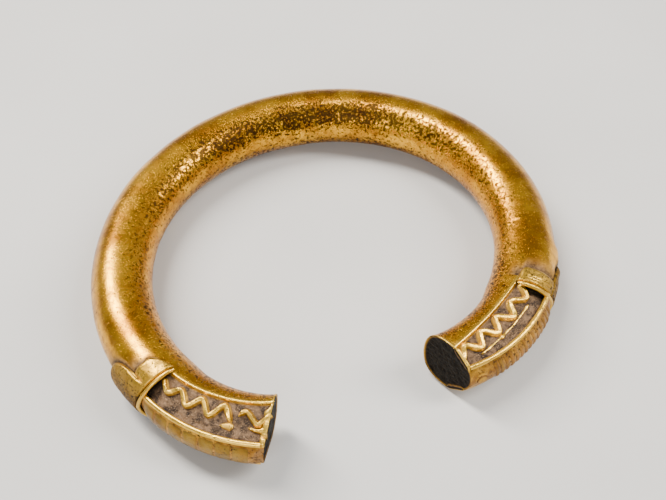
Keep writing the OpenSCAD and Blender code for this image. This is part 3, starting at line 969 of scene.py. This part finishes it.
def collars(material):
    """The sleeve of each end: a painted sheen on top, dull patina and painted shade where it dips, and
    painted shade from its outer side down.
    """
    for side in (LEFT, RIGHT):
        rings, share, phi = collar_shell(side)
        patches = 0.5 + 0.5 * layered(rings, 2.2, 107)
        low = 1 - soft_step(share, 0.5, 0.5)
        # Painted light: the rubbed sheen is kept to the top, while extra speckles and painted shade
        # darken the outer side and below; painted shade also lies where the sleeve dips.
        marks = {
            "speckle_and_shade": 0.3 + 0.4 * patches + 0.25 * soft_step(-phi, -40, 60) + 0 * share,
            "dull": 0.8 * low ** 2,
            "wear_and_sheen": (1 - low) * (0.1 + 0.6 * patches) * soft_step(phi, 25, 60),
            "black_and_shade": 0.6 * low ** 3 + 0.5 * soft_step(-phi, -38, 50), "amber": 0.3 * patches}
        node = side.name + "_collar"
        make_piece(node + "_sleeve", [(rings, marks)], material, node)


def collar_beads(material):
    """The rolled front edge of each collar."""
    section = round_section(20)
    for side in (LEFT, RIGHT):
        reach = COLLAR_WRAP[side.name] - 3
        phi = np.linspace(-reach, reach, 170)
        r = ROD_R + collar_height(phi) / 2 + 0.02
        s = front_s(phi) + BEAD_R - BED / 2
        path = side.on_rod(s, r, phi)
        ups = unit(path - side.on_rod(s, 0 * r, phi))
        uneven = 1 + 0.12 * noise(path, 1.4, 109)
        size = BEAD_SHARE[side.name] * BEAD_R * end_taper(len(phi), 0.05, 0.4) * uneven
        rings = sweep(path, ups, section, size, size)
        marks = rubbed(rings, 0.55 + 0.5 * section[:, 1], 0.85)
        node = side.name + "_collar_bead"
        make_piece(node + "_roll", [(rings, marks)], material, node)


# ---- Side facets ----

def facet_place(side, s, f):
    """A place on the outer facet at length s, from f = -1 at its lower to 1 at its upper edge."""
    t = s / side.length
    u = ease3(side.outer, t) + side.swell(t) * (1 - np.abs(f) ** FACET_ROUND)
    return side.tip(t, u, FACET_TOP * f)


def relief_strip(side, s, half_width, height, lean, seed, squareness):
    """A low rounded strip up the facet at length s; lean slides its top along the bangle."""
    reach = 0.88
    f = np.linspace(-reach, reach, 44)[:, None]
    x = np.linspace(-1, 1, 19)[None, :]
    square = (1 - np.abs(x) ** squareness) * (1 - np.abs(f / reach) ** 12)
    place = s + lean * f + half_width * x
    turn = FRONT_TURN + place / side.length * side.tip_turn
    top = facet_place(side, place, f + 0 * x)
    dents = 0.05 * layered(top, 0.8, seed)
    over = top + side.direction(out_dir(turn)) * (square * (height + dents) - 0.02)[..., None]
    below = (top - side.direction(out_dir(turn)) * STRIP_BED)[:, ::-1]
    rings = np.concatenate([over, below], axis=1)
    share = np.concatenate([square, np.zeros_like(square)], axis=1)
    patches = 0.5 + 0.5 * layered(rings, 1.8, seed + 2)
    low = 1 - soft_step(share, 0.4, 0.6)
    return rings, {
        "speckle_and_shade": 0.2 + 0.35 * patches,
        "dull": 0.35 * low + 0.2 * patches,
        "wear_and_sheen": 0.3 * (1 - low) * patches,
        # Painted shade at the strip's foot.
        "black_and_shade": 0.35 * low ** 3,
        "amber": 0.25 * patches}


def facets(left_material, right_material):
    """Broad pads on the left facet and slanted bars on the right one."""
    pitch, gap, height, squareness = 2.3, 0.22, 0.08, 10
    start = PANEL_START + 2 * BEAD_R
    count = int((LEFT.length - start - LIP_W) / pitch)
    half = (pitch - gap) / 2
    pads = [relief_strip(LEFT, start + pitch * (k + 0.5), half, height, 0, 121 + k, squareness)
            for k in range(count)]
    make_piece("left_facet_pads", pads, left_material, "left_side_pads")
    pitch, width, height, lean, squareness = 0.95, 0.72, 0.2, 0.5, 2.4
    start = PANEL_START + 2 * BEAD_R + 0.6
    boss_room = 2.08
    count = int((RIGHT.length - start - LIP_W - boss_room) / pitch)
    bars = [relief_strip(RIGHT, start + pitch * k, width / 2, height, lean, 151 + k, squareness)
            for k in range(count)]
    make_piece("right_facet_bars", bars, right_material, "right_side_bars")


def boss(material):
    """The low round boss near the right end."""
    radius, height = 0.85, 0.3
    middle = RIGHT.length - (LIP_W + 1.12)
    f = np.linspace(0, 1, 22)[:, None]
    angle = np.linspace(0, 2 * math.pi, 48, endpoint=False)[None, :]
    reach = radius * (1 - f)
    s = middle + reach * np.cos(angle)
    base = facet_place(RIGHT, s, reach * np.sin(angle) / RIM_Z)
    out = RIGHT.direction(out_dir(FRONT_TURN + s / RIGHT.length * RIGHT.tip_turn))
    dome = height * np.sqrt(np.clip(1 - (1 - f) ** 2.5, 0, 1)) + 0.04 * layered(base, 0.7, 191)
    rings = np.concatenate([base[:1] - out[:1] * STRIP_BED, base + out * dome[..., None]])
    low = np.concatenate([[1.0], 1 - soft_step(f[:, 0], 0.12, 0.2)])[:, None] + 0 * rings[..., 0]
    marks = {
        "speckle_and_shade": 0.35,
        "dull": 0.4 * low + 0.15,
        "wear_and_sheen": 0.35 * (1 - low),
        # Painted shade round the boss's foot.
        "black_and_shade": 0.4 * low ** 3,
        "amber": 0.3}
    make_piece("right_facet_boss", [(rings, marks)], material, "right_boss")


# ---- Floor, light and camera ----

def studio():
    """A pale floor, a dim grey world and long soft lights."""
    bpy.ops.mesh.primitive_plane_add(size=3)
    ground = bpy.context.object
    ground.name = "studio_floor"
    ground.data.materials.append(floor_material())
    world = bpy.data.worlds.new("studio_world")
    bpy.context.scene.world = world
    world.use_nodes = True
    world.node_tree.nodes["Background"].inputs["Color"].default_value = (0.9, 0.93, 1, 1)
    world.node_tree.nodes["Background"].inputs["Strength"].default_value = 0.36
    add_light("key_light", (-0.22, 0.25, 0.5), (0.14, 0.5), 8.0, (1, 0.96, 0.9))
    add_light("fill_light", (0.4, -0.1, 0.42), (0.14, 0.4), 4.2, (1, 0.97, 0.93))
    add_light("front_light", (-0.25, -0.45, 0.35), (0.3, 0.25), 2.0, (0.97, 0.98, 1))


def add_light(name, place, size, power, colour):
    data = bpy.data.lights.new(name, "AREA")
    data.shape = "RECTANGLE"
    data.size, data.size_y = size
    data.energy = power
    data.color = colour
    lamp = bpy.data.objects.new(name, data)
    bpy.context.scene.collection.objects.link(lamp)
    lamp.location = place
    lamp.rotation_euler = (-Vector(place)).to_track_quat("-Z", "Y").to_euler()


def camera():
    """A hand-held view from above the opening, a little to the left and slightly rolled."""
    place = Vector((-13.78, -108.56, 137.86)) * MM
    target = Vector((2.29, 3.23, 0.80)) * MM
    roll = math.radians(-4.04)
    forward = (target - place).normalized()
    level = forward.cross(Vector((0, 0, 1))).normalized()
    above = level.cross(forward)
    right = math.cos(roll) * level + math.sin(roll) * above
    up = -math.sin(roll) * level + math.cos(roll) * above
    data = bpy.data.cameras.new("camera")
    data.sensor_width, data.lens = 36, 54.05
    data.clip_start = 0.01
    view = bpy.data.objects.new("camera", data)
    bpy.context.scene.collection.objects.link(view)
    view.matrix_world = Matrix.Translation(place) @ Matrix((right, up, -forward)).transposed().to_4x4()
    bpy.context.scene.camera = view


def build():
    rod, relief, sleeve = rod_brass(), relief_brass(), collar_brass()
    olive, copper = olive_brass(), copper_brass()
    section = ridge_section(6, 0.46, 0.62)
    hoop(rod)
    for side in (LEFT, RIGHT):
        terminal(side, rod)
    collars(sleeve)
    collar_beads(sleeve)
    waves(relief, section)
    prong(relief, section)
    midline(relief, section)
    rims(relief)
    end_lips(relief)
    facets(olive, copper)
    boss(copper)


build()
studio()
camera()
